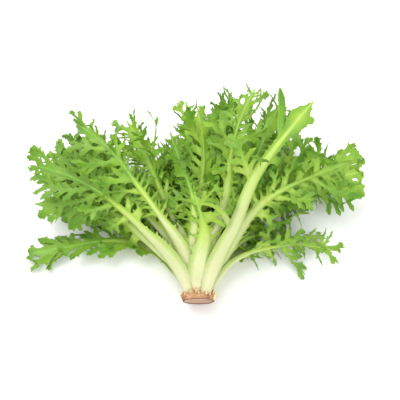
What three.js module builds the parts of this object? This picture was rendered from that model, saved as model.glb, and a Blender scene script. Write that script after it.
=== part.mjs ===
// A curly endive head, cut from its root and lying on its side: a short stem with its leaves round it
// in a spiral. Millimetres. +X is to the right, +Y runs from the cut end towards the leaf tips and +Z is up.
import * as THREE from "three";

// Driving dimensions
const LEAF_COUNT = 48;
const GOLDEN_ANGLE = 137.508; // degrees round the stem from one leaf to the next
const FIRST_LEAF_AROUND = 33; // degrees from straight up, towards +X
const STEM_RADIUS = 14.5; // at the cut
const STEM_HEIGHT = 16.5; // of the stem's axis above the table, at the cut
const STEM_TILT = 10; // degrees that the axis rises towards the leaves
const LEAF_HALF_WIDTH = 25; // of an outer leaf, to the ends of its lobes
const LOBE_PAIRS = 7;

// The stem's outline: distance along the axis from the cut, and radius
const STEM_OUTLINE = [
  [0, STEM_RADIUS - 0.8],
  [0.8, STEM_RADIUS],
  [3, STEM_RADIUS - 0.3],
  [4.5, 12.4],
  [5.5, 11.2],
];
const STEM_TIP = [42, 1.2];
const STEM_SEGMENTS = 32;

// How the leaves leave the stem and spread
const FIRST_LEAF_UP = 6; // height of the lowest leaf above the cut
const LAST_LEAF_UP = 39;
const SPREAD_DISTANCE = 60; // mm along a leaf in which most of its bend takes place
const SPLAY_SIDE = 104; // degrees from the axis at the tip of an outer leaf that lies to one side
const SPLAY_UPRIGHT = 42; // the same for one that grows straight up
const SPLAY_UNDER = 58; // the same for one that lies straight under the head
const SPLAY_PUSHED = 24; // more to the side for leaves that the head's weight spreads
const SPLAY_HEART = 8;
const SPLAY_POWER = 1.3; // the leaves between keep close to the outer ones
const FLATTEN_RADIUS = 66; // the head's upper half is pressed down towards this height
const PRESS = 0.42; // how far the pressing turns upright leaves towards the sides
const SAG_REACH = 165; // distance from the middle at which leaf tips have sunk furthest
const SAG = 0.62;
const FLOOR_GAP = 0.55; // from the table to the middle of the lowest leaf
const STEM_GAP = 0.5;
const WIDEST_SECTOR = 23; // degrees either side that one leaf may take up round the stem
const BASE_SECTOR = 14.5; // the same where it leaves the stem
const FOLD_SECTOR = 9; // the same for a leaf on the fold at either side of the head

// The fan's outline seen from above: how far the leaf tips reach from the cut, by heading from +Y
const FAN_REACH = 170;
const FAN_SHOULDERS = [
  { heading: 36, width: 20, extra: 32 }, // the longest leaves
  { heading: -42, width: 17, extra: 30 },
];
const FAN_NOTCH = { heading: -13, width: 8, extra: -34 }; // the gap left of the middle
const FAN_RIGHT_END = { heading: 80, width: 16, extra: -54 }; // the short leaves low on the right
const FAN_LEFT_END = { heading: -80, width: 16, extra: -14 };
const LONGEST_LEAF = 240; // along its midrib
const SHORT_LEAF = { index: 5, share: 0.54 }; // grows on top, and ends where the head opens

const DEG = Math.PI / 180;
const lerp = THREE.MathUtils.lerp;
const clamp = THREE.MathUtils.clamp;

// A repeatable number from 0 to 1 for a leaf and a purpose.
function chance(leaf, purpose) {
  const x = Math.sin(leaf * 12.9898 + purpose * 78.233) * 43758.5453;
  return x - Math.floor(x);
}

// The stem's radius at a height above the cut.
function stemRadius(up) {
  const [foot] = STEM_OUTLINE.slice(-1);
  const share = clamp((up - foot[0]) / (STEM_TIP[0] - foot[0]), 0, 1);
  return lerp(foot[1], STEM_TIP[1], share);
}

// The smaller of two lengths, rounded where they cross.
function softMin(a, b) {
  return (a ** -4 + b ** -4) ** -0.25;
}

// How far the tips reach from the cut at a heading in degrees, from the fan's outline.
function fanReach(heading) {
  const bump = (at, { heading: middle, width, extra }) => extra * Math.exp(-(((at - middle) / width) ** 2));
  return (
    FAN_REACH +
    bump(heading, FAN_SHOULDERS[0]) +
    bump(heading, FAN_SHOULDERS[1]) +
    bump(heading, FAN_NOTCH) +
    bump(heading, FAN_RIGHT_END) +
    bump(heading, FAN_LEFT_END)
  );
}

// One leaf's place in the spiral. Depth runs from 0 for the outermost leaf to 1 for the heart.
function leafPlan(index) {
  const depth = index / (LEAF_COUNT - 1);
  const around = (FIRST_LEAF_AROUND + index * GOLDEN_ANGLE) * DEG;
  const plan = {
    index,
    depth,
    around,
    length: 60,
    folded: Math.min(1, 1.8 * Math.sin(around) ** 4), // 1 on the fold along the head's sides
    baseThickness: lerp(2.2, 1.3, depth),
    halfWidth: lerp(LEAF_HALF_WIDTH, 14, depth),
  };
  const whole = index === SHORT_LEAF.index ? SHORT_LEAF.share : 1;
  const share = lerp(1, 0.92, depth) * lerp(0.93, 1, chance(index, 1)) * whole;
  for (; plan.length < LONGEST_LEAF; plan.length += 2) {
    const tip = shellPoint(plan, plan.around, plan.length);
    if (Math.hypot(tip.x, tip.y) > fanReach(Math.atan2(tip.x, tip.y) / DEG) * share) break;
  }
  return plan;
}

// Angle between a leaf and the stem's axis at a distance along the leaf.
function splay(depth, around, along) {
  const c = Math.cos(around);
  const outer =
    c > 0
      ? lerp(SPLAY_SIDE, SPLAY_UPRIGHT, c ** 1.2)
      : lerp(SPLAY_SIDE - SPLAY_PUSHED * c, SPLAY_UNDER, c ** 4);
  const start = lerp(12, 1, depth);
  const end = lerp(outer, SPLAY_HEART, depth ** SPLAY_POWER);
  return lerp(start, end, 1 - Math.exp(-along / SPREAD_DISTANCE)) * DEG;
}

// Where a point of a leaf's own shell lies, for a direction round the stem and a distance along the leaf.
function shellPoint(plan, around, along) {
  let axial = lerp(FIRST_LEAF_UP, LAST_LEAF_UP, plan.depth);
  let radial = stemRadius(axial) + plan.baseThickness / 2 + STEM_GAP;
  const steps = Math.max(1, Math.ceil(along / 3));
  const step = along / steps;
  for (let i = 0; i < steps; i++) {
    const angle = splay(plan.depth, around, (i + 0.5) * step);
    axial += Math.cos(angle) * step;
    radial += Math.sin(angle) * step;
  }
  const tilt = STEM_TILT * DEG;
  const axisHeight = STEM_HEIGHT + axial * Math.sin(tilt);
  const turned = around + (PRESS / 2) * Math.sin(2 * around) * Math.min(1, along / 60);
  const c = Math.cos(turned);
  const room = ((axisHeight - FLOOR_GAP) / Math.cos(tilt)) * (1 - 0.9 * plan.depth);
  const rise =
    c > 0
      ? (c * radial) / Math.hypot(1, radial / FLATTEN_RADIUS)
      : (1.5 * c - 0.5 * c ** 3) * softMin(radial, room);
  const x = radial * Math.sin(turned);
  const y = axial * Math.cos(tilt) - rise * Math.sin(tilt);
  const z = axisHeight + rise * Math.cos(tilt);
  const kept = 1 - SAG * Math.min(1, Math.abs(x) / SAG_REACH) ** 2;
  return new THREE.Vector3(x, y, FLOOR_GAP + (z - FLOOR_GAP) * kept);
}

// The point, the direction outwards and the mm per radian round the stem, at a place on a leaf.
function leafFrame(plan, around, along) {
  const d = 0.02;
  const point = shellPoint(plan, around, along);
  const forward = shellPoint(plan, around, along + 1).sub(point).normalize();
  const sideways = shellPoint(plan, around + d, along).sub(point);
  const perRadian = sideways.length() / d;
  const outward = sideways.normalize().cross(forward).normalize();
  return { point, outward, perRadian };
}

// The rows of a leaf's outline from the stem to its tip: where each row is, how far its edges reach to
// either side and how far forward of the row they lie.
function leafRows(plan) {
  const stalk = [0, 0.06, 0.15, 0.24].map((share) => ({
    share,
    half: lerp(6, 4.2, share / 0.24) * lerp(1, 0.55, plan.depth),
    forward: 0,
  }));
  const lobes = [];
  for (let k = 0; k < LOBE_PAIRS; k++) {
    const share = lerp(0.29, 0.93, k / (LOBE_PAIRS - 1));
    const envelope = Math.sin(Math.PI * clamp((share - 0.08) / 1.04, 0, 1)) ** 0.8;
    const reach = plan.halfWidth * envelope * lerp(0.85, 1.1, chance(plan.index, 10 + k));
    const rib = lerp(5, 1.4, share) * lerp(1, 0.55, plan.depth);
    lobes.push({ share, half: rib, forward: 0 });
    lobes.push({ share: share + 0.035, half: reach, forward: 0.02 * plan.length * (1 - plan.folded) });
  }
  return [...stalk, ...lobes, { share: 1, half: 1.2, forward: 0 }];
}

// A leaf's six corners at one row: left, middle and right on its inner side, then on its outer side.
function rowCorners(plan, row) {
  const along = row.share * plan.length;
  const middle = leafFrame(plan, plan.around, along);
  const sector = lerp(WIDEST_SECTOR, FOLD_SECTOR, plan.folded);
  const widest = lerp(BASE_SECTOR, sector, Math.min(1, along / 40)) * DEG;
  const turn = Math.min(row.half / middle.perRadian, widest);
  const thick = lerp(plan.baseThickness, 0.7, Math.min(1, row.share * 1.4));
  const thin = Math.min(thick, lerp(1.0, 0.6, row.share));
  const left = leafFrame(plan, plan.around - turn, along + row.forward);
  const right = leafFrame(plan, plan.around + turn, along + row.forward);
  const corner = (frame, offset) => {
    const p = frame.point.clone().addScaledVector(frame.outward, offset);
    p.z = Math.max(p.z, 0); // pressed flat where it lies on the table
    return p;
  };
  return [
    corner(left, -thin / 2),
    corner(middle, -thick / 2),
    corner(right, -thin / 2),
    corner(right, thin / 2),
    corner(middle, thick / 2),
    corner(left, thin / 2),
  ];
}

// A leaf as one closed solid: its rows joined into a strip with two faces and two ends.
function leafGeometry(plan) {
  const rows = leafRows(plan).map((row) => rowCorners(plan, row));
  const around = rows[0].length;
  const faces = [];
  for (let r = 0; r + 1 < rows.length; r++) {
    for (let c = 0; c < around; c++) {
      const a = r * around + c;
      const b = r * around + ((c + 1) % around);
      faces.push(a, b + around, b, a, a + around, b + around);
    }
  }
  const last = (rows.length - 1) * around;
  for (const [a, b, c] of [[0, 4, 1], [0, 5, 4], [1, 3, 2], [1, 4, 3]]) {
    faces.push(a, c, b);
    faces.push(last + a, last + b, last + c);
  }
  const geometry = new THREE.BufferGeometry().setFromPoints(rows.flat());
  geometry.setIndex(faces);
  geometry.computeVertexNormals();
  return geometry;
}

// The stem: a lathed stub that narrows to a point inside the heart, turned to lie along its axis.
function stemGeometry() {
  const outline = [[0, 0], ...STEM_OUTLINE, STEM_TIP, [STEM_TIP[0] + 1.5, 0]];
  const profile = outline.map(([up, radius]) => new THREE.Vector2(radius, up));
  return new THREE.LatheGeometry(profile, STEM_SEGMENTS);
}

const finish = {
  stem: new THREE.MeshStandardMaterial({ color: "#dcc49a", roughness: 0.7 }),
  outer: new THREE.MeshStandardMaterial({ color: "#6fa23a", roughness: 0.5 }),
  middle: new THREE.MeshStandardMaterial({ color: "#86b84a", roughness: 0.5 }),
  heart: new THREE.MeshStandardMaterial({ color: "#b5cf6a", roughness: 0.5 }),
};

function leafLayer(depth) {
  if (depth < 0.34) return "outer";
  return depth < 0.75 ? "middle" : "heart";
}

const head = new THREE.Group();

const stem = new THREE.Mesh(stemGeometry(), finish.stem);
stem.name = "stem";
stem.position.set(0, 0, STEM_HEIGHT);
stem.rotation.x = STEM_TILT * DEG;
head.add(stem);

for (let i = 0; i < LEAF_COUNT; i++) {
  const plan = leafPlan(i);
  const layer = leafLayer(plan.depth);
  const leaf = new THREE.Mesh(leafGeometry(plan), finish[layer]);
  leaf.name = `${layer}_leaf_${String(i + 1).padStart(2, "0")}`;
  head.add(leaf);
}

// The origin is under the middle of the head, on the table.
const box = new THREE.Box3().setFromObject(head, true);
const middle = box.getCenter(new THREE.Vector3());
head.position.set(-middle.x, -middle.y, -box.min.z);

const endive = new THREE.Group();
endive.add(head);
export default endive;
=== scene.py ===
"""A curly endive head, cut from its root and lying on its side.

A short stem carries its leaves in a golden-angle spiral. Every leaf lies on its own shell round the
stem's axis, so the outer leaves spread over the table and the inner ones stand up inside them. A
leaf is a thin surface that is grown row by row: a strip along its midrib, lobes on the strip and
teeth on the lobes. Geometry Nodes then smooth that surface, ruffle it and give it its thickness.
Sizes are in millimetres until an object is made, and the frame's own metres after that.
"""

import logging
import math
import random
from dataclasses import dataclass, field, fields
from enum import Enum
from typing import Any, Optional, Sequence, Union

import bpy
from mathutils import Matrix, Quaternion, Vector
from mathutils.kdtree import KDTree

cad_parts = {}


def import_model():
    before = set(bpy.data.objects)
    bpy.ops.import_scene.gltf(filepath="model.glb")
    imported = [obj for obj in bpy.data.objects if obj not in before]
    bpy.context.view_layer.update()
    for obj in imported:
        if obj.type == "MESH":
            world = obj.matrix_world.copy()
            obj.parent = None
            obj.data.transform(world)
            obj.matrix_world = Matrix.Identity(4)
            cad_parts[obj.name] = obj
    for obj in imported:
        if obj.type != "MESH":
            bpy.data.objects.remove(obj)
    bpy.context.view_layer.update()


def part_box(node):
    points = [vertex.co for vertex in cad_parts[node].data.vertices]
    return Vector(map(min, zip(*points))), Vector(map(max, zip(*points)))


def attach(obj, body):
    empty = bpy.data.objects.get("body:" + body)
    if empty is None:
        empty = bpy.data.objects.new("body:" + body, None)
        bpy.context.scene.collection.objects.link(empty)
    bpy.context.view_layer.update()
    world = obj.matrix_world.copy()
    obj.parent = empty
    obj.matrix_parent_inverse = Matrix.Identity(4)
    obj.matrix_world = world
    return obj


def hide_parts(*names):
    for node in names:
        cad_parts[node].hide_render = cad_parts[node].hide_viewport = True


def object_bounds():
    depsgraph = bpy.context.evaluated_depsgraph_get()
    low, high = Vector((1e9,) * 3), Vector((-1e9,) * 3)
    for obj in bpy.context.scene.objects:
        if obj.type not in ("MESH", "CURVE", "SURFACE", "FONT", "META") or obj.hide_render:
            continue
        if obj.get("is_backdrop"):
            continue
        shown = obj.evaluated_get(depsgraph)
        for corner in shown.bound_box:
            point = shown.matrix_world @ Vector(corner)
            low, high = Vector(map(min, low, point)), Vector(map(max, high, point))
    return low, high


LOG = logging.getLogger("endive")
MM = 0.001
FULL_TURN = 2 * math.pi
LOBE_THICKNESS = 0.38
TIP_THICKNESS = 0.36
Colour = tuple[float, float, float]
Frame = tuple[Vector, Vector, Vector]
Socket = bpy.types.NodeSocket
Values = Optional[dict[Union[str, int], Any]]


def lerp(a: float, b: float, share: float) -> float:
    """Returns the value that lies that share of the way from a to b."""
    return a + (b - a) * share


def clamp(value: float, low: float = 0.0, high: float = 1.0) -> float:
    """Returns the value, kept between low and high."""
    return max(low, min(high, value))


def smooth(low: float, high: float, value: float) -> float:
    """Returns 0 below low, 1 above high and an eased ramp between."""
    share = clamp((value - low) / (high - low))
    return share * share * (3 - 2 * share)


def linear(red: int, green: int, blue: int) -> Colour:
    """Returns a colour given as on a screen, 0 to 255, as the linear values that shaders use."""

    def channel(level: int) -> float:
        share = level / 255
        return share / 12.92 if share <= 0.04045 else ((share + 0.055) / 1.055) ** 2.4

    return channel(red), channel(green), channel(blue)


def put(name: str, data: bpy.types.ID) -> bpy.types.Object:
    """Makes an object of a mesh, lamp or camera, puts it in the scene and returns it."""
    made = bpy.data.objects.new(name, data)
    bpy.context.scene.collection.objects.link(made)
    return made


def carry(mesh: bpy.types.Mesh, key: str, values: list[float]) -> None:
    """Stores a number at each point of a mesh, for the materials and node trees."""
    mesh.attributes.new(key, "FLOAT", "POINT").data.foreach_set("value", values)


# Node trees


class Signal:
    """A number that a node tree works out. Python's operators on it add Math nodes."""

    def __init__(self, weave: "Weave", socket: Socket) -> None:
        """Wraps the output socket of a node in that tree."""
        self.weave = weave
        self.socket = socket

    def work(self, operation: str, *values: "Number") -> "Signal":
        """Adds one Math node and returns what it works out."""
        return self.weave.signal("ShaderNodeMath", dict(enumerate(values)), operation=operation)

    def __add__(self, other: "Number") -> "Signal":
        """Returns self + other."""
        return self.work("ADD", self, other)

    def __sub__(self, other: "Number") -> "Signal":
        """Returns self - other."""
        return self.work("SUBTRACT", self, other)

    def __rsub__(self, other: "Number") -> "Signal":
        """Returns other - self."""
        return self.work("SUBTRACT", other, self)

    def __mul__(self, other: "Number") -> "Signal":
        """Returns self * other."""
        return self.work("MULTIPLY", self, other)

    def __truediv__(self, other: "Number") -> "Signal":
        """Returns self / other."""
        return self.work("DIVIDE", self, other)

    def sine(self) -> "Signal":
        """Returns the sine of the number, in radians."""
        return self.work("SINE", self)

    def kept(self) -> "Signal":
        """Returns the number kept between 0 and 1."""
        return self.work("MINIMUM", self.work("MAXIMUM", self, 0.0), 1.0)

    def between(self, low: float, high: float) -> "Signal":
        """Returns 0 at low, 1 at high and a straight ramp between, kept between 0 and 1."""
        return ((self - low) / (high - low)).kept()


Number = Union[float, Signal]


class Weave:
    """A node tree under construction."""

    def __init__(self, tree: bpy.types.NodeTree) -> None:
        """Starts on a tree, which loses the nodes it had."""
        self.tree = tree
        tree.nodes.clear()

    def node(self, kind: str, values: Values = None, **settings: Any) -> bpy.types.Node:
        """Adds a node.

        Args:
            kind: The node's type.
            values: A constant, a socket or a Signal for each input, by name or number.
            settings: The node's own settings, or a colour ramp's stops as "stops".

        Returns:
            The node.
        """
        made = self.tree.nodes.new(kind)
        self._set_stops(made, settings.pop("stops", ()))
        for name, value in settings.items():
            setattr(made, name, value)
        for key, value in (values or {}).items():
            if isinstance(value, Signal):
                value = value.socket
            if isinstance(value, Socket):
                self.tree.links.new(value, made.inputs[key])
            else:
                made.inputs[key].default_value = value
        return made

    @staticmethod
    def _set_stops(made: bpy.types.Node, stops: Sequence[tuple[float, Colour]]) -> None:
        """Gives a colour ramp its stops, each a position and a colour."""
        for i, (place, colour) in enumerate(stops):
            elements = made.color_ramp.elements
            element = elements[i] if i < len(elements) else elements.new(1.0)
            element.position, element.color = place, (*colour, 1.0)

    def out(
        self, kind: str, values: Values = None, output: Union[str, int] = 0, **settings: Any
    ) -> Socket:
        """Adds a node as node() does and returns one of its outputs."""
        return self.node(kind, values, **settings).outputs[output]

    def signal(
        self, kind: str, values: Values = None, output: Union[str, int] = 0, **settings: Any
    ) -> Signal:
        """Adds a node as node() does and returns one of its outputs as a number."""
        return Signal(self, self.out(kind, values, output, **settings))

    def noise(self, where: Socket, waves: float, detail: float = 3.0) -> Signal:
        """Returns a cloudy pattern between about 0.2 and 0.8, with that many waves to a metre."""
        values = {"Vector": where, "Scale": waves, "Detail": detail}
        return self.signal("ShaderNodeTexNoise", values)


class Paint(Weave):
    """A material's node tree under construction."""

    def __init__(self, name: str) -> None:
        """Starts a material of that name."""
        self.made = bpy.data.materials.new(name)
        self.made.use_nodes = True
        super().__init__(self.made.node_tree)
        self.where = self.out("ShaderNodeTexCoord", output="Object")

    def carried(self, *names: str) -> list[Signal]:
        """Returns numbers that the mesh carries at its points."""
        return [self.signal("ShaderNodeAttribute", output="Fac", attribute_name=n) for n in names]

    def blend(self, share: Number, low: Any, high: Any) -> Socket:
        """Mixes two colours, each a constant or a socket, and returns the mixed colour's socket."""
        low, high = ((*c, 1.0) if isinstance(c, tuple) else c for c in (low, high))
        return self.out("ShaderNodeMix", {0: share, 6: low, 7: high}, 2, data_type="RGBA")

    def body(self, strength: float, depth: float, relief: Signal, **values: Any) -> Socket:
        """Returns the shader of a body with a bumpy skin.

        Args:
            strength: How clearly the bumps show.
            depth: How deep they are, in metres.
            relief: Their pattern.
            values: The shader's own inputs, with _ for a space in the name.
        """
        bump = {"Strength": strength, "Distance": depth, "Height": relief}
        values = {name.replace("_", " "): value for name, value in values.items()}
        values["Normal"] = self.out("ShaderNodeBump", bump)
        return self.out("ShaderNodeBsdfPrincipled", values)

    def done(self, shader: Socket) -> bpy.types.Material:
        """Ends the tree in that shader and returns the material."""
        self.node("ShaderNodeOutputMaterial", {"Surface": shader})
        return self.made


class Works(Weave):
    """A Geometry Nodes tree with named inputs, under construction."""

    def __init__(self, name: str, inputs: dict[str, str]) -> None:
        """Starts a tree that takes a geometry, those inputs (name and kind) and a finish."""
        super().__init__(bpy.data.node_groups.new(name, "GeometryNodeTree"))
        face = self.tree.interface
        for label, kind in {"Geometry": "Geometry", **inputs, "Finish": "Material"}.items():
            face.new_socket(label, in_out="INPUT", socket_type=f"NodeSocket{kind}")
        face.new_socket("Geometry", in_out="OUTPUT", socket_type="NodeSocketGeometry")
        self.start = self.node("NodeGroupInput").outputs

    def given(self, name: str) -> Signal:
        """Returns one of the tree's inputs as a number."""
        return Signal(self, self.start[name])

    def vector(self, x: Number, y: Number, z: Number) -> Socket:
        """Returns the vector with those components."""
        return self.out("ShaderNodeCombineXYZ", {"X": x, "Y": y, "Z": z})

    def pushed(self, geometry: Socket, direction: Socket, amount: Any) -> Socket:
        """Moves a geometry's points along a direction by an amount and returns it."""
        push = {0: direction, "Scale": amount}
        offset = self.out("ShaderNodeVectorMath", push, operation="SCALE")
        return self.out("GeometryNodeSetPosition", {"Geometry": geometry, "Offset": offset})

    def joined(self, *parts: Socket) -> Socket:
        """Returns several geometries as one."""
        whole = self.node("GeometryNodeJoinGeometry")
        for part in parts:
            self.tree.links.new(part, whole.inputs[0])
        return whole.outputs[0]

    def thickened(self, sheet: Socket, thickness: Any, seam: float) -> Socket:
        """Gives a sheet its thickness, so that it closes, and returns it."""
        values = {"Mesh": sheet, "Offset Scale": thickness, "Individual": False}
        outer = self.out("GeometryNodeExtrudeMesh", values, mode="FACES")
        both = self.joined(outer, self.out("GeometryNodeFlipFaces", {"Mesh": sheet}))
        return self.out("GeometryNodeMergeByDistance", {"Geometry": both, "Distance": seam})

    def shaded(self, geometry: Socket, where: Number = True, how: bool = True) -> Socket:
        """Shades a geometry's faces smooth, or else its edges where said, and returns it."""
        values = {"Geometry": geometry, "Selection": where, "Shade Smooth": how}
        domain = "FACE" if how else "EDGE"
        return self.out("GeometryNodeSetShadeSmooth", values, domain=domain)

    def close(self, geometry: Socket) -> None:
        """Ends the tree: everything made real, with the finish on it."""
        real = self.out("GeometryNodeRealizeInstances", {"Geometry": geometry})
        dressed = {"Geometry": real, "Material": self.start["Finish"]}
        self.node("NodeGroupOutput", {"Geometry": self.out("GeometryNodeSetMaterial", dressed)})

    def bake(self, piece: bpy.types.Object, values: dict[str, Any]) -> None:
        """Replaces a piece's mesh by what the tree makes of it.

        Args:
            piece: The object. It ends up without modifiers.
            values: A value for each named input.
        """
        work = piece.modifiers.new(self.tree.name, "NODES")
        work.node_group = self.tree
        for item in self.tree.interface.items_tree:
            if item.in_out == "INPUT" and item.name in values:
                work[item.identifier] = values[item.name]
        graph = bpy.context.evaluated_depsgraph_get()
        graph.update()
        made = bpy.data.meshes.new_from_object(piece.evaluated_get(graph), depsgraph=graph)
        piece.modifiers.clear()
        old, piece.data = piece.data, made
        made.name = piece.name
        bpy.data.meshes.remove(old)


# Finishes


@dataclass(frozen=True)
class LeafFinish:
    """Leaf tissue: pale at the stalk, green at the lobes, thin enough for light to come through."""

    name: str
    ramp: tuple[tuple[float, Colour], ...]
    glow: Colour = linear(152, 206, 44)
    glow_share: float = 0.26
    roughness: float = 0.28
    vein: Colour = linear(200, 226, 120)
    margin: Colour = linear(198, 218, 96)
    fibre: Colour = linear(238, 244, 212)
    blush: Colour = linear(196, 170, 104)
    scar: Colour = linear(196, 158, 110)
    dry: Colour = linear(92, 66, 78)
    cloud_waves: float = 55.0
    blush_waves: float = 90.0
    grain_waves: float = 420.0
    cell_waves: float = 430.0
    fibre_waves: float = 27.0

    def material(self) -> bpy.types.Material:
        """Builds the material and returns it."""
        w = Paint(self.name)
        green, rib, across, edge, scar, dry = w.carried(
            "green", "rib", "across", "edge", "scar", "dry"
        )
        cloud = w.noise(w.where, self.cloud_waves, 2.0)
        grain = w.noise(w.where, self.grain_waves)
        cell = {"Vector": w.where, "Scale": self.cell_waves}
        cells = w.signal("ShaderNodeTexVoronoi", cell, "Distance", feature="DISTANCE_TO_EDGE")
        veins = (1.0 - cells.between(0.02, 0.16)) * (1.0 - rib) * green.between(0.15, 0.6)
        wave = (across * self.fibre_waves + grain * 3.5 + cloud * 5.0).sine()
        fibres = (wave * 0.5 + 0.5) * rib * cloud.between(0.3, 0.65)
        place = green + (cloud - 0.5) * 0.42 * green.between(0.05, 0.5) + (grain - 0.5) * 0.12
        blushing = w.noise(w.where, self.blush_waves, 1.0).between(0.6, 0.75)
        scarred = (scar + (w.noise(w.where, self.grain_waves, 4.0) - 0.5) * 1.5).between(0.35, 0.95)
        colour = w.out("ShaderNodeValToRGB", {0: place.kept()}, stops=self.ramp)
        for share, over in (
            (veins * 0.1, self.vein),
            (edge * green * 0.25, self.margin),
            (fibres * 0.18, self.fibre),
            (blushing * rib * green.between(0.05, 0.2) * 0.22, self.blush),
            (scarred * 0.75, self.scar),
            (dry.kept() * 0.85, self.dry),
        ):
            colour = w.blend(share, colour, over)
        relief = veins * 0.6 + fibres * 0.4 + grain * 0.8
        shine = grain * 0.2 + self.roughness
        body = w.body(0.35, 0.0004, relief, Base_Color=colour, Roughness=shine, IOR=1.42)
        thin = w.out("ShaderNodeBsdfTranslucent", {"Color": (*self.glow, 1.0)})
        share = (1.0 - rib * 0.85) * self.glow_share
        return w.done(w.out("ShaderNodeMixShader", {0: share, 1: body, 2: thin}))


@dataclass(frozen=True)
class RootFinish:
    """The cut end of the stem: torn brown skin round it, a dark rim and a moist cut face."""

    name: str = "cut_stem"
    bark: Colour = linear(200, 154, 112)
    bark_dark: Colour = linear(142, 96, 66)
    bark_light: Colour = linear(222, 190, 146)
    cream: Colour = linear(228, 208, 162)
    cut: Colour = linear(206, 172, 142)
    cut_dark: Colour = linear(158, 118, 92)
    rim: Colour = linear(104, 66, 44)
    coarse_waves: float = 160.0
    fine_waves: float = 900.0
    ring_waves: float = 13.0

    def material(self) -> bpy.types.Material:
        """Builds the material and returns it. The mesh carries skin, rim and cut as shares."""
        w = Paint(self.name)
        skin, rim, cut, ring = w.carried("skin", "rim", "cut", "ring")
        coarse = w.noise(w.where, self.coarse_waves, 4.0)
        fine = w.noise(w.where, self.fine_waves, 4.0)
        bark = w.blend(coarse.between(0.35, 0.68), self.bark_dark, self.bark)
        bark = w.blend(fine.between(0.5, 0.75) * 0.5, bark, self.bark_light)
        torn = (skin + (coarse - 0.5) * 1.3).between(0.3, 0.6)
        rings = (ring * self.ring_waves + coarse * 9.0).sine() * 0.5 + 0.5
        worn = (rings * 0.22 + fine * 0.5 + coarse * 0.3).between(0.25, 0.8)
        face = w.blend(worn, self.cut_dark, self.cut)
        colour = w.blend(cut.kept(), w.blend(torn, self.cream, bark), face)
        colour = w.blend((rim + (fine - 0.5) * 0.5).between(0.3, 0.7), colour, self.rim)
        relief = coarse * 1.2 + fine * 0.8 + rings * cut * 0.3
        return w.done(w.body(0.6, 0.0006, relief, Base_Color=colour, Roughness=0.82 - cut * 0.3))


class Layer(Enum):
    """A leaf's layer in the head, from the outside in. Its value starts the node's name."""

    OUTER = "outer"
    MIDDLE = "middle"
    HEART = "heart"

    @property
    def slot(self) -> str:
        """The record's material slot for the layer's leaves."""
        return f"{self.value}_leaf"

    @property
    def finish(self) -> LeafFinish:
        """The finish of the layer's leaves."""
        light, fresh, deep = {
            Layer.OUTER: (linear(174, 208, 76), linear(136, 186, 52), linear(90, 150, 32)),
            Layer.MIDDLE: (linear(176, 210, 72), linear(134, 187, 48), linear(82, 147, 26)),
            Layer.HEART: (linear(178, 209, 74), linear(128, 181, 46), linear(74, 138, 22)),
        }[self]
        cream, stalk, pale = linear(218, 217, 170), linear(190, 209, 128), linear(184, 210, 100)
        places = (0.0, 0.16, 0.36, 0.55, 0.78, 1.0)
        return LeafFinish(self.slot, tuple(zip(places, (cream, stalk, pale, light, fresh, deep))))


# The spiral of leaves


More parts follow.
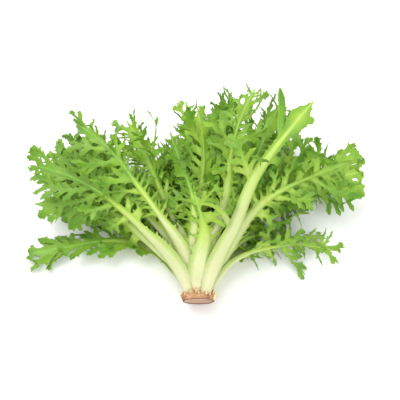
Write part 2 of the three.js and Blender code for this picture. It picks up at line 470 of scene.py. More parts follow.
@dataclass(frozen=True)
class Rosette:
    """The shells that the leaves lie on, round a stem that lies on the table. Lengths in mm.

    x is to the right, y from the cut end towards the tips and z up. y and x are 0 at the middle of
    the cut, and z is 0 on the table.
    """

    leaf_count: int = 48
    golden_angle: float = 137.508
    first_leaf_around: float = 33.0
    stem_height: float = 16.5
    stem_tilt: float = math.radians(10)
    stem_foot: tuple[float, float] = (5.5, 11.2)
    stem_tip: tuple[float, float] = (42.0, 1.2)
    first_leaf_up: float = 6.0
    last_leaf_up: float = 39.0
    spread_distance: float = 60.0
    splay_first: float = 12.0
    splay_last: float = 1.0
    splay_side: float = 104.0
    splay_upright: float = 42.0
    splay_under: float = 58.0
    splay_pushed: float = 24.0
    splay_heart: float = 8.0
    splay_power: float = 1.3
    flatten_radius: float = 66.0
    press: float = 0.42
    press_distance: float = 60.0
    sag_reach: float = 165.0
    sag: float = 0.62
    floor_gap: float = 0.55
    stem_gap: float = 0.5
    longest_step: float = 3.0

    def around(self, index: int) -> float:
        """Returns a leaf's place round the stem in radians, from straight up to the right."""
        return math.radians(self.first_leaf_around + index * self.golden_angle)

    def on_stem(self, up: float, rise: float) -> tuple[float, float]:
        """Returns y and z of a point at a height above the cut and a rise over the axis."""
        tilt = self.stem_tilt
        y = up * math.cos(tilt) - rise * math.sin(tilt)
        return y, self.stem_height + up * math.sin(tilt) + rise * math.cos(tilt)

    def stem_radius(self, up: float) -> float:
        """Returns the stem's radius at a height above the cut."""
        share = clamp((up - self.stem_foot[0]) / (self.stem_tip[0] - self.stem_foot[0]))
        return lerp(self.stem_foot[1], self.stem_tip[1], share)

    def splay(self, depth: float, around: float, along: float) -> float:
        """Returns the angle between a leaf and the stem's axis at a distance along the leaf."""
        c = math.cos(around)
        if c > 0:
            outer = lerp(self.splay_side, self.splay_upright, c**1.2)
        else:
            outer = lerp(self.splay_side - self.splay_pushed * c, self.splay_under, c**4)
        start = lerp(self.splay_first, self.splay_last, depth)
        end = lerp(outer, self.splay_heart, depth**self.splay_power)
        return math.radians(lerp(start, end, 1 - math.exp(-along / self.spread_distance)))

    def point(self, depth: float, base_thickness: float, around: float, along: float) -> Vector:
        """Returns the point of a leaf's shell in a direction, at a distance along the leaf.

        Args:
            depth: 0 for the outermost leaf, 1 for the heart.
            base_thickness: The leaf's thickness where it leaves the stem.
            around: Direction round the stem's axis in radians.
            along: Distance along the leaf from where it leaves the stem.

        Returns:
            The point, in mm.
        """
        axial = lerp(self.first_leaf_up, self.last_leaf_up, depth)
        radial = self.stem_radius(axial) + base_thickness / 2 + self.stem_gap
        steps = max(1, math.ceil(along / self.longest_step))
        step = along / steps
        for i in range(steps):
            angle = self.splay(depth, around, (i + 0.5) * step)
            axial += math.cos(angle) * step
            radial += math.sin(angle) * step
        height = self.stem_height + axial * math.sin(self.stem_tilt)
        pressed = min(1.0, along / self.press_distance)
        turned = around + self.press / 2 * math.sin(2 * around) * pressed
        c = math.cos(turned)
        room = (height - self.floor_gap) / math.cos(self.stem_tilt) * (1 - 0.9 * depth)
        if c > 0:
            rise = c * radial / math.hypot(1, radial / self.flatten_radius)
        else:
            rise = (1.5 * c - 0.5 * c**3) * (radial**-4 + room**-4) ** -0.25
        x = radial * math.sin(turned)
        y = axial * math.cos(self.stem_tilt) - rise * math.sin(self.stem_tilt)
        z = height + rise * math.cos(self.stem_tilt)
        kept = 1 - self.sag * min(1.0, abs(x) / self.sag_reach) ** 2
        return Vector((x, y, self.floor_gap + (z - self.floor_gap) * kept))


@dataclass(frozen=True)
class Fan:
    """The outline of the spread head from above: how far the tips reach from the cut, by heading.

    A bulge has the heading of its middle, its width in degrees and how much further it reaches.
    """

    reach: float = 170.0
    longest_leaf: float = 240.0
    bulges: tuple[tuple[float, float, float], ...] = (
        (36.0, 20.0, 32.0),
        (-42.0, 17.0, 30.0),
        (-13.0, 8.0, -34.0),
        (80.0, 16.0, -54.0),
        (-80.0, 16.0, -14.0),
    )

    def at(self, heading: float) -> float:
        """Returns the reach in mm at a heading in degrees from +y towards +x."""
        further = (
            extra * math.exp(-(((heading - middle) / width) ** 2))
            for middle, width, extra in self.bulges
        )
        return sum(further, self.reach)


# Leaves


@dataclass
class Tissue:
    """What a leaf is like at one point. Thickness in mm, the rest as shares."""

    thick: float
    green: float
    rib: float = 0.0
    across: float = 0.0
    edge: float = 0.0
    loose: float = 0.0
    scar: float = 0.0
    dry: float = 0.0


@dataclass
class LeafSheet:
    """A thin surface grown row by row, in mm. Its points carry what the leaf is like there."""

    points: list[Vector] = field(default_factory=list)
    tissues: list[Tissue] = field(default_factory=list)
    faces: list[tuple[int, ...]] = field(default_factory=list)

    def add(self, point: Vector, tissue: Tissue) -> int:
        """Adds a point and returns its number."""
        self.points.append(point)
        self.tissues.append(tissue)
        return len(self.points) - 1

    def join(self, near: Sequence[int], far: Sequence[int]) -> None:
        """Fills the strip between two rows of as many points."""
        for c in range(len(near) - 1):
            self.faces.append((near[c], near[c + 1], far[c + 1], far[c]))

    def close(self, row: Sequence[int], tip: int) -> None:
        """Fills between a row and one point beyond it."""
        for c in range(len(row) - 1):
            self.faces.append((row[c], row[c + 1], tip))

    def mesh(self, name: str, place: Vector) -> bpy.types.Mesh:
        """Returns the surface as a mesh in metres, moved by place (mm), with its tissues."""
        made = bpy.data.meshes.new(name)
        made.from_pydata([(p + place) * MM for p in self.points], [], self.faces)
        for key in (fact.name for fact in fields(Tissue)):
            carry(made, key, [getattr(t, key) for t in self.tissues])
        return made


@dataclass(frozen=True)
class Edge:
    """Where something grows out of a strip. Side 1 is the strip's right edge and -1 its left one.

    Its points run from the one furthest ahead on the right side, from the nearest on the left.
    """

    side: int
    base: list[int]
    ahead: Vector
    outward: Vector


@dataclass
class Strip:
    """Rows of a sheet's points, and each row's middle, direction ahead and direction outward."""

    rows: list[list[int]] = field(default_factory=list)
    frames: list[Frame] = field(default_factory=list)

    def edge(self, side: int, row: int, span: int = 1, at: int = 0) -> Edge:
        """Returns a stretch of one edge.

        Args:
            side: 1 for the right edge, -1 for the left one.
            row: Where it starts.
            span: How many rows further it ends.
            at: How many rows further its directions are taken, as far as there are rows.

        Returns:
            The edge.
        """
        base = [self.rows[k][-1 if side == 1 else 0] for k in range(row, row + span + 1)]
        _, ahead, outward = self.frames[min(len(self.frames) - 1, row + at)]
        return Edge(side, base[::-1] if side == 1 else base, ahead, outward)


@dataclass(frozen=True)
class LobeForm:
    """How one lobe grows out of an edge. Lengths in mm, angles in radians."""

    length: float
    steps: int
    forward: float
    rise: float
    turn: float
    curl: float
    twist: float
    neck: float
    crown: float
    tooth: float
    thick: float
    greener: float
    branching: float = 0.0
    pale: float = 0.5
    dry: float = 0.0
    neck_at: float = 0.35
    crown_at: float = 0.72

    def width(self, t: float) -> float:
        """Returns the width at a share of the length, as a share of the width at the edge."""
        if t < self.neck_at:
            return lerp(1.0, self.neck, smooth(0, self.neck_at, t))
        if t < self.crown_at:
            return lerp(self.neck, self.crown, smooth(self.neck_at, self.crown_at, t))
        closing = ((t - self.crown_at) / (1 - self.crown_at)) ** 1.3
        return lerp(self.crown, self.crown * 0.25, closing)


@dataclass(frozen=True)
class PlannedLobe:
    """A lobe that stands out: its side of the leaf, its start as a share, its rows and its form."""

    side: int
    share: float
    span: int
    form: LobeForm


@dataclass
class LobeGrower:
    """Grows lobes and teeth on a leaf's sheet, by the leaf's own chances."""

    sheet: LeafSheet
    chance: random.Random
    hollow: float = 0.18
    shoulder_out: float = 0.55
    shoulder_half: float = 0.26
    tip_out: float = 0.62
    tip_ahead: float = 0.12

    def lobe(self, edge: Edge, form: LobeForm) -> None:
        """Grows one lobe of that form out of an edge, with what grows on its own margins."""
        sheet, side = self.sheet, edge.side
        ends = [sheet.points[i] for i in edge.base]
        start = [sheet.tissues[i] for i in edge.base]
        centre = sum(ends, Vector()) / len(ends)
        half = max(0.5, (ends[-1] - ends[0]).length / 2)
        sideways = edge.ahead.cross(edge.outward).normalized() * side
        along = sideways * math.cos(form.forward) + edge.ahead * math.sin(form.forward)
        along = along.normalized()
        across = along.cross(edge.outward).normalized()
        along = Quaternion(across, form.rise) @ along
        normal = across.cross(along).normalized()
        green0 = sum(t.green for t in start) / len(start)
        loose0 = sum(t.loose for t in start) / len(start)
        green1 = clamp(green0 + form.greener + self.chance.uniform(-0.22, 0.12))
        strip = Strip([list(edge.base)], [(centre, along, normal)])
        step = form.length / form.steps
        phase = self.chance.uniform(0, FULL_TURN)
        for j in range(1, form.steps):
            t = j / form.steps
            sway = 1 + 0.8 * math.sin(phase + 5 * t)
            along = Quaternion(normal, side * form.turn / form.steps * sway) @ along
            across = along.cross(normal).normalized()
            along = Quaternion(across, form.curl / form.steps * (0.4 + 1.2 * t)) @ along
            normal = across.cross(along).normalized()
            normal = Quaternion(along, form.twist / form.steps) @ normal
            across = along.cross(normal).normalized()
            centre = centre + along * step
            share = form.width(t)
            row = []
            for c in range(len(ends)):
                v = lerp(-1, 1, c / (len(ends) - 1))
                hollow = -self.hollow * half * share * v * v
                vein = max(0.0, 1 - abs(v) * 1.2) * (1 - t) * form.pale
                flesh = Tissue(
                    thick=lerp(form.thick, LOBE_THICKNESS, t) * (1 + 0.5 * vein),
                    green=clamp(lerp(green0, green1, smooth(0, 0.8, t)) - 0.25 * vein),
                    rib=vein * 0.5,
                    across=v,
                    edge=max(0.0, abs(v) * 2 - 1),
                    loose=clamp(loose0 + 0.8 * t),
                    dry=form.dry * smooth(0.15, 0.6, t),
                )
                point = centre + across * (half * share * v) + normal * hollow
                row.append(sheet.add(point, flesh))
            sheet.join(strip.rows[-1], row)
            strip.rows.append(row)
            strip.frames.append((centre, along, normal))
        flesh = Tissue(TIP_THICKNESS, green1, edge=1.0, loose=1.0, dry=form.dry)
        sheet.close(strip.rows[-1], sheet.add(centre + along * step * 1.2, flesh))
        self._margins(strip, form)

    def _margins(self, strip: Strip, form: LobeForm) -> None:
        """Grows teeth, and small side lobes on a branching lobe, along both edges of a lobe."""
        count = len(strip.rows)
        for side in (1, -1):
            j = 1 + (self.chance.random() < 0.5)
            while form.tooth > 0 and j < count - 1:
                t = j / count
                room = form.branching > 0 and j + 2 < count
                if room and self.chance.random() < form.branching:
                    self.lobe(strip.edge(side, j, 2), self._side_lobe(form, t))
                    j += 3
                    continue
                size = lerp(0.6, 1.4, self.chance.random() ** 1.5)
                self.tooth(strip.edge(side, j), form.tooth * size * (1 - 0.35 * t))
                j += 2 if self.chance.random() < 0.7 else 3

    def _side_lobe(self, form: LobeForm, t: float) -> LobeForm:
        """Returns the form of a small lobe on the margin of a larger one."""
        pick = self.chance.uniform
        return LobeForm(
            length=form.length * pick(0.26, 0.46) * (1 - 0.3 * t),
            steps=4,
            forward=pick(0.5, 0.95),
            rise=pick(-0.5, 0.5),
            turn=pick(-0.2, 0.7),
            curl=pick(-0.9, 0.9),
            twist=pick(-0.6, 0.6),
            neck=0.62,
            crown=0.7,
            tooth=form.tooth * 0.7,
            thick=0.42,
            greener=0.15,
        )

    def tooth(self, edge: Edge, reach: float) -> None:
        """Grows one small pointed tooth, reach mm long, out of an edge between two points."""
        sheet = self.sheet
        a, b = (sheet.points[i] for i in edge.base)
        sideways = edge.ahead.cross(edge.outward).normalized() * edge.side
        lean = self.chance.uniform(0.45, 0.95)
        tilt = self.chance.uniform(-0.35, 0.35)
        out = sideways * math.cos(lean) + edge.ahead * math.sin(lean) + edge.outward * tilt
        out = out.normalized()
        parent = sheet.tissues[edge.base[0]]
        middle = (a + b) / 2 + out * reach * self.shoulder_out
        half = (b - a) * self.shoulder_half
        green, loose = clamp(parent.green + 0.08), min(1.0, parent.loose + 0.1)
        flesh = Tissue(LOBE_THICKNESS, green, edge=0.8, loose=loose)
        row = [sheet.add(middle - half, flesh), sheet.add(middle + half, flesh)]
        sheet.join(edge.base, row)
        tip = middle + out * reach * self.tip_out + edge.ahead * reach * self.tip_ahead
        sheet.close(row, sheet.add(tip, Tissue(TIP_THICKNESS, green, edge=1.0, loose=loose)))


@dataclass
class StalkGuard:
    """Keeps the lobes of inner leaves under the stalk of an outer one. Lengths in mm.

    frames and halves are the stalk's frames and half its width at each. Points up to margin beside
    the stalk move all the way, to gap under its inner side, and over the easing beyond that they
    move less and less. Points far from it, or beyond its ends by more than overhang, stay.
    """

    frames: Sequence[Frame]
    halves: Sequence[float]
    margin: float = 3.5
    easing: float = 7.0
    gap: float = 1.2
    far: float = 30.0
    overhang: float = 4.0

    def __post_init__(self) -> None:
        """Prepares the search for the nearest frame."""
        self.tree = KDTree(len(self.frames))
        for i, (centre, _, _) in enumerate(self.frames):
            self.tree.insert(centre, i)
        self.tree.balance()

    def tuck(self, sheet: LeafSheet) -> None:
        """Moves an inner leaf's points that would show in front of the stalk to behind it."""
        for point in sheet.points:
            _, i, distance = self.tree.find(point)
            if distance > self.far:
                continue
            centre, ahead, outward = self.frames[i]
            step = point - centre
            height = step.dot(outward)
            aside = abs(step.dot(ahead.cross(outward)))
            near = self.halves[i] + self.margin
            beside = abs(step.dot(ahead)) < self.overhang and aside < near + self.easing
            if height > -self.gap and beside:
                share = 1 - smooth(near, near + self.easing, aside)
                point += outward * ((-self.gap - height) * share)


@dataclass(frozen=True)
class LeafHabit:
    """What sets one leaf apart from its neighbours. Lengths in mm, heading in degrees."""

    broad: float
    stalk_half: float
    bare: float
    lobe_length: float
    curliness: float
    heading: float = 0.0
    lift: float = 0.0
    stretch: float = 1.0
    blade: float = 4.0
    tooth: float = 4.4
    sway: float = 4.0
    comb: float = 0.4
    green: float = 1.0
    nod: float = 0.0
    threads: float = 0.02
    spindly: float = 0.0
    taper: float = 0.4
    flat: float = 0.75
    rib_green: float = 0.75
    rib_end: float = 0.8


@dataclass
class Leaf:
    """One leaf of the head. Lengths in mm."""

    index: int
    rosette: Rosette
    fan: Fan
    special: dict[str, float] = field(default_factory=dict)
    planned: Sequence[PlannedLobe] = ()
    first_seed: int = 7001
    row_step: float = 2.8
    foot: float = 4.0
    tip_beyond: float = 4.0
    shortest: float = 60.0
    length_step: float = 2.0
    narrowest_half: float = 0.8
    guard_from: float = 0.08
    stubs_from: float = 0.22
    stub_chance: float = 0.4
    planned_teeth_after: float = 0.16
    outer_until: float = 0.34
    scarred_until: float = 0.6
    middle_until: float = 0.75

    def __post_init__(self) -> None:
        """Works out the leaf's place in the spiral, its length and its habit."""
        self.chance = random.Random(self.first_seed + self.index)
        self.depth = self.index / (self.rosette.leaf_count - 1)
        self.around = self.rosette.around(self.index)
        self.base_thickness = lerp(2.2, 1.3, self.depth)
        self.habit = self._habit()
        self.length = self._length()
        self.strip = Strip()

    @property
    def layer(self) -> Layer:
        """The leaf's layer."""
        if self.depth < self.outer_until:
            return Layer.OUTER
        return Layer.MIDDLE if self.depth < self.middle_until else Layer.HEART

    @property
    def node(self) -> str:
        """The name of the leaf's node in the frame."""
        return f"{self.layer.value}_leaf_{self.index + 1:02d}"

    def _habit(self) -> LeafHabit:
        """Returns the leaf's habit from its depth, with what is special to this leaf put in."""
        pick, d = self.chance.uniform, self.depth
        usual = dict(
            broad=clamp(lerp(0.42, 0.0, d * 1.4) + pick(-0.3, 0.25)),
            stalk_half=lerp(8.8, 3.4, d**0.7) * pick(0.92, 1.08),
            bare=lerp(0.32, 0.22, d) + pick(-0.03, 0.05),
            lobe_length=lerp(27.0, 18.0, d) * pick(0.9, 1.15),
            curliness=lerp(0.95, 1.45, d),
            blade=lerp(3.4, 1.0, d) * pick(0.8, 1.2),
            sway=lerp(5.0, 7.0, d),
            comb=lerp(0.3, 0.95, smooth(0.0, 0.6, d)),
            lift=4.0 * max(0.0, math.cos(self.around)) * (1 - smooth(0.0, 0.4, d)),
            green=pick(0.78, 1.05),
            nod=pick(-5.0, 7.0),
            spindly=0.8 * smooth(0.25, 0.55, d),
        )
        return LeafHabit(**{**usual, **self.special})

    def _length(self) -> float:
        """Returns the length at which the leaf's tip meets the fan's outline."""
        share = lerp(0.97, 0.91, self.depth) * lerp(0.94, 1, self.chance.random())
        share *= self.habit.stretch
        length = self.shortest
        while length < self.fan.longest_leaf:
            tip = self._shell(self.around, length)
            reach = self.fan.at(math.degrees(math.atan2(tip.x, tip.y)))
            if math.hypot(tip.x, tip.y) > reach * share:
                break
            length += self.length_step
        return length

    def _shell(self, around: float, along: float) -> Vector:
        """Returns a point of the leaf's own shell."""
        return self.rosette.point(self.depth, self.base_thickness, around, along)

    def _frame(self, around: float, along: float) -> tuple[Vector, Vector, Vector, float]:
        """Returns the point, the directions ahead and outward, and the mm per radian at a place."""
        aside = 0.02
        point = self._shell(around, along)
        ahead = (self._shell(around, along + 1) - point).normalized()
        sideways = self._shell(around + aside, along) - point
        outward = sideways.normalized().cross(ahead).normalized()
        return point, ahead, outward, sideways.length / aside

    def _half_width(self, q: float) -> tuple[float, float]:
        """Returns half the rib's width and half the whole strip's, at a share of the length."""
        h = self.habit
        rib = h.stalk_half * lerp(0.8, 1.3, smooth(0.0, 0.12, q))
        rib *= lerp(1.0, h.taper, smooth(0.12, 0.4, q))
        rib = lerp(rib, 0.6, smooth(0.35, h.rib_end, q))
        blade = h.blade * (0.1 + 0.9 * h.broad) * smooth(h.bare - 0.04, h.bare + 0.4, q)
        end = lerp(2.2, 6.5, h.broad) * smooth(0.75, 0.9, q)
        closing = 1 - smooth(0.9, 1.0, q) * 0.9
        return rib, max(self.narrowest_half, (rib + 0.25 + blade + end) * closing)

    def sheet(self) -> LeafSheet:
        """Grows the leaf and returns its sheet, in mm."""
        made = LeafSheet()
        grower = LobeGrower(made, self.chance)
        step = self.row_step * lerp(1.0, 0.84, smooth(0.2, 0.5, self.depth))
        count = max(20, round(self.length / step))
        phases = [self.chance.uniform(0, FULL_TURN) for _ in range(4)]
        rows = self.strip.rows
        for r in range(count + 1):
            self._row(made, r / count, phases)
            if r:
                made.join(rows[-2], rows[-1])
        centre, ahead, _ = self.strip.frames[-1]
        flesh = Tissue(TIP_THICKNESS, 1.0 - 0.2 * self.depth, edge=1.0, loose=0.8)
        made.close(rows[-1], made.add(centre + ahead * self.tip_beyond, flesh))
        for side in (1, -1):
            if self.planned:
                self._grow_planned(grower, side, count)
            else:
                self._grow_stubs(grower, side, count)
                self._grow_lobes(grower, side, count)
        return made

    def guard(self) -> StalkGuard:
        """Returns the guard of the leaf's bare stalk, once the leaf is grown."""
        count = len(self.strip.frames) - 1
        shown = range(round(count * self.guard_from), round(count * self.habit.bare))
        halves = [self._half_width(r / count)[0] for r in shown]
        return StalkGuard([self.strip.frames[r] for r in shown], halves)

    def _row(self, made: LeafSheet, q: float, phases: Sequence[float]) -> None:
        """Adds one row of the midrib strip to the sheet, at a share of the leaf's length."""
        h = self.habit
        along = lerp(-self.foot, self.length, q)
        free = smooth(0.1, 0.6, q)
        sway = h.sway * free * math.sin(phases[0] + 5.2 * q)
        sway += math.radians(h.heading) * along * free
        around = self.around + sway / self._frame(self.around, along)[3]
        centre, ahead, outward, per_radian = self._frame(around, along)
        rise = 3.0 * free * math.sin(phases[1] + 6.5 * q) + h.lift * smooth(0.05, 0.4, q)
        rise += h.nod * smooth(0.55, 1.0, q) ** 2
        rib, whole = self._half_width(q)
        twist = 0.35 * h.curliness * free * math.sin(phases[2] + 4.0 * q)
        inner = min(0.92, rib / whole)
        beside = ahead.cross(outward).normalized()
        flat = h.flat * smooth(0.05, 0.2, q)
        row = []
        for u in (-1.0, -inner, -inner * 0.5, 0.0, inner * 0.5, inner, 1.0):
            turn = clamp(u * whole / per_radian, -0.95, 0.95)
            on_shell = self._shell(around + turn, along)
            on_shell = on_shell.lerp(centre + beside * (u * whole), flat)
            off = u * whole * math.sin(twist)
            ruffle = max(0.0, abs(u) - inner) * math.sin(phases[3] + 40 * q + 3 * u)
            fold = -0.16 * rib * (1 - abs(u)) * smooth(0.5, 0.1, q)
            point = on_shell + outward * (rise + off + 0.16 * whole * ruffle + fold)
            row.append(made.add(point, self._tissue(q, along, u, inner)))
        self.strip.rows.append(row)
        self.strip.frames.append((centre + outward * rise, ahead, outward))

    def _tissue(self, q: float, along: float, u: float, inner: float) -> Tissue:
        """Returns what the midrib strip is like at a place.

        Args:
            q: The place as a share of the leaf's length.
            along: The same in mm from where the leaf leaves the stem.
            u: The place across the strip, from -1 to 1.
            inner: Where the rib ends across the strip.

        Returns:
            The tissue there.
        """
        h = self.habit
        middle = max(0.0, 1 - (abs(u) / inner) ** 3)
        rib_share = clamp((1.05 - abs(u) / (inner + 0.02)) * 2.5)
        flesh = lerp(4.4, 0.6, smooth(0.0, 0.75, q)) * lerp(1, 0.55, self.depth)
        flesh *= lerp(0.3, 1.0, smooth(-self.foot, 16.0, along))
        margin_green = lerp(0.04, 0.3, smooth(0.06, 0.22, q))
        blade_green = lerp(margin_green, 1.0, smooth(h.bare - 0.18, h.bare + 0.3, q))
        rib_green = lerp(0.0, 0.1, smooth(0, 0.25, q)) + h.rib_green * smooth(0.3, 0.7, q)
        return Tissue(
            thick=0.45 + flesh * (0.3 + 0.7 * middle) * (1 if abs(u) < 1 else 0.5),
            green=lerp(blade_green, rib_green, rib_share) * lerp(1.0, 0.86, self.depth) * h.green,
            rib=rib_share,
            across=u * lerp(1.0, 0.5, q),
            edge=1.0 if abs(u) == 1 and q > h.bare else 0.0,
            loose=0.35 * smooth(0.1, 0.6, q) * abs(u),
            scar=1 - smooth(-1.0, 4.5, along) if self.depth < self.scarred_until else 0.0,
        )

    def _grow_lobes(self, grower: LobeGrower, side: int, count: int) -> None:
        """Grows the lobes on one edge, from the end of the bare stalk to the tip."""
        h, chance = self.habit, self.chance
        comb_steps = (0, 0, 1) if self.depth > 0.25 else (0, 1, 1)
        lobe_steps = (1, 1, 2) if h.broad > 0.5 else (1, 2, 2, 3)
        r = round(count * h.bare) + chance.randint(0, 3)
        while r < count - 1:
            t = (r / count - h.bare) / (1 - h.bare)
            fine = chance.random() < h.comb
            span = 1 if fine else (3 if chance.random() < lerp(0.1, 0.85, h.broad) else 2)
            span = min(span if t < 0.86 else min(span, 2), count - r)
            form = self._comb_form(t) if span == 1 else self._lobe_form(t)
            grower.lobe(self.strip.edge(side, r, span, span // 2), form)
            r += span + chance.choice(comb_steps if fine else lobe_steps)

    def _grow_stubs(self, grower: LobeGrower, side: int, count: int) -> None:
        """Grows a few short pale teeth on one edge, beside the upper part of the bare stalk."""
        for r in range(round(count * self.stubs_from), round(count * self.habit.bare) - 1):
            if self.chance.random() < self.stub_chance:
                grower.tooth(self.strip.edge(side, r), self.chance.uniform(1.5, 4.5))

    def _grow_planned(self, grower: LobeGrower, side: int, count: int) -> None:
        """Grows one edge's planned lobes, and teeth on what they leave free of the broad end."""
        taken = set()
        for lobe in self.planned:
            if lobe.side == side:
                r = min(round(count * lobe.share), count - lobe.span)
                grower.lobe(self.strip.edge(side, r, lobe.span, lobe.span // 2), lobe.form)
                taken.update(range(r - 1, r + lobe.span + 1))
        r = round(count * (self.habit.bare + self.planned_teeth_after))
        while r < count - 1:
            if r not in taken:
                reach = self.habit.tooth * self.chance.uniform(0.6, 1.5)
                grower.tooth(self.strip.edge(side, r), reach)
            r += self.chance.choice((2, 2, 3))

    def _comb_form(self, t: float) -> LobeForm:
        """Returns the form of one of the thin lobes that stand like the teeth of a comb."""
        pick, wild, thin = self.chance.uniform, self.habit.curliness, self.habit.spindly
        if self.chance.random() < self.habit.threads:
            return self._thread_form()
        return LobeForm(
            length=pick(6.0, lerp(16.0, 24.0, thin)) * lerp(1.1, 0.8, t),
            steps=4 + round(2 * thin),
            forward=pick(0.1, 0.8),
            rise=pick(-0.5, 0.9) * wild - 0.4 * (1 - smooth(0.0, 0.4, t)),
            turn=pick(-0.3, 0.7),
            curl=pick(-1.3, 1.3) * wild,
            twist=pick(-1.2, 1.2) * wild,
            neck=lerp(0.66, 0.46, thin),
            crown=lerp(0.6, 0.38, thin),
            tooth=self.habit.tooth * lerp(0.6, 0.36, thin),
            thick=0.8,
            greener=lerp(0.4, 0.62, thin),
            pale=lerp(0.2, 0.5, thin),
        )

    def _thread_form(self) -> LobeForm:
        """Returns the form of a thin dried thread."""
        pick = self.chance.uniform
        return LobeForm(
            length=pick(9.0, 15.0),
            steps=6,
            forward=pick(0.3, 0.9),
            rise=pick(0.3, 1.0),
            turn=pick(-0.6, 0.6),
            curl=pick(-1.0, 1.0),
            twist=0.0,
            neck=0.3,
            crown=0.2,
            tooth=0.0,
            thick=0.5,
            greener=0.0,
            pale=0.0,
            dry=1.0,
        )

    def _lobe_form(self, t: float) -> LobeForm:
        """Returns the form of a lobe at a share of the way from the first lobe to the tip."""
        h, pick, wild = self.habit, self.chance.uniform, self.habit.curliness
        length = h.lobe_length * (0.62 + 0.75 * math.sin(math.pi * clamp(0.12 + 0.8 * t)))
        length *= pick(0.7, 1.25)
        length *= lerp(1.0, 0.6, smooth(0.75, 1.0, t)) * lerp(1.15, 0.8, h.broad)
        fine = 1 - h.broad
        low = 0.5 * (1 - smooth(0.0, 0.4, t))
        return LobeForm(
            length=length,
            steps=max(5, round(length / 2.7)),
            forward=lerp(0.35, 0.95, t) + pick(-0.2, 0.2),
            rise=pick(-0.45, 0.75) * wild * (0.6 + 0.4 * fine) - low,
            turn=lerp(0.5, 0.15, t) + pick(-0.5, 0.5),
            curl=pick(-1.6, 1.7) * wild * (0.35 + 0.65 * fine),
            twist=pick(-1.5, 1.5) * wild * (0.3 + 0.7 * fine),
            neck=lerp(0.38, 0.72, h.broad) * lerp(1.0, 0.7, h.spindly),
            crown=lerp(0.52, 0.95, h.broad) * pick(0.85, 1.2) * lerp(1.0, 0.6, h.spindly),
            tooth=h.tooth * lerp(0.8, 0.95, h.broad) * lerp(1.0, 0.7, h.spindly),
            thick=lerp(1.5, 0.5, smooth(0, 0.6, t)),
            greener=lerp(0.55, 0.12, t),
            pale=lerp(1.3, 0.5, t),
            branching=lerp(0.6, 0.3, h.broad),
        )


@dataclass
class LeafWorks:
    """Geometry Nodes that finish a leaf: smooth it, ruffle it and give it its thickness."""

    ruffle: float = 1.6
    ruffle_waves: float = 95.0
    ruffle_detail: float = 1.5
    smoothing: int = 1
    crisp_angle: float = math.radians(65)
    seam: float = 1e-6

    def __post_init__(self) -> None:
        """Builds the tree. The cut round a sheet's edge stays crisp where the rest is smooth."""
        names = ("Ruffle", "Ruffle Waves", "Seed")
        self.works = w = Works("leaf_works", dict.fromkeys(names, "Float"))
        sheet = {"Mesh": w.start["Geometry"], "Level": self.smoothing}
        smoothed = w.out("GeometryNodeSubdivisionSurface", sheet)
        loose, thick = (
            w.signal("GeometryNodeInputNamedAttribute", {"Name": name}, data_type="FLOAT")
            for name in ("loose", "thick")
        )
        values = {
            "Vector": w.out("GeometryNodeInputPosition"),
            "W": w.start["Seed"],
            "Scale": w.start["Ruffle Waves"],
            "Detail": self.ruffle_detail,
        }
        pattern = w.signal("ShaderNodeTexNoise", values, noise_dimensions="4D")
        push = (pattern - 0.5) * w.given("Ruffle") * (2 * MM) * loose
        ruffled = w.pushed(smoothed, w.out("GeometryNodeInputNormal"), push)
        soft = w.shaded(w.thickened(ruffled, thick * MM, self.seam))
        angle = w.signal("GeometryNodeInputMeshEdgeAngle", output="Unsigned Angle")
        keen = angle.work("GREATER_THAN", angle, self.crisp_angle)
        w.close(w.shaded(soft, keen, False))

    def finish(
        self, piece: bpy.types.Object, seed: float, ruffle: float, dress: bpy.types.Material
    ) -> None:
        """Turns a piece's sheet into the finished leaf.

        Args:
            piece: The object whose mesh is the leaf's sheet.
            seed: Which ruffles it gets.
            ruffle: Their size, as a share of the usual one.
            dress: The leaf's material.
        """
        values = {"Ruffle": self.ruffle * ruffle, "Ruffle Waves": self.ruffle_waves}
        self.works.bake(piece, {**values, "Seed": seed, "Finish": dress})


# The cut stem


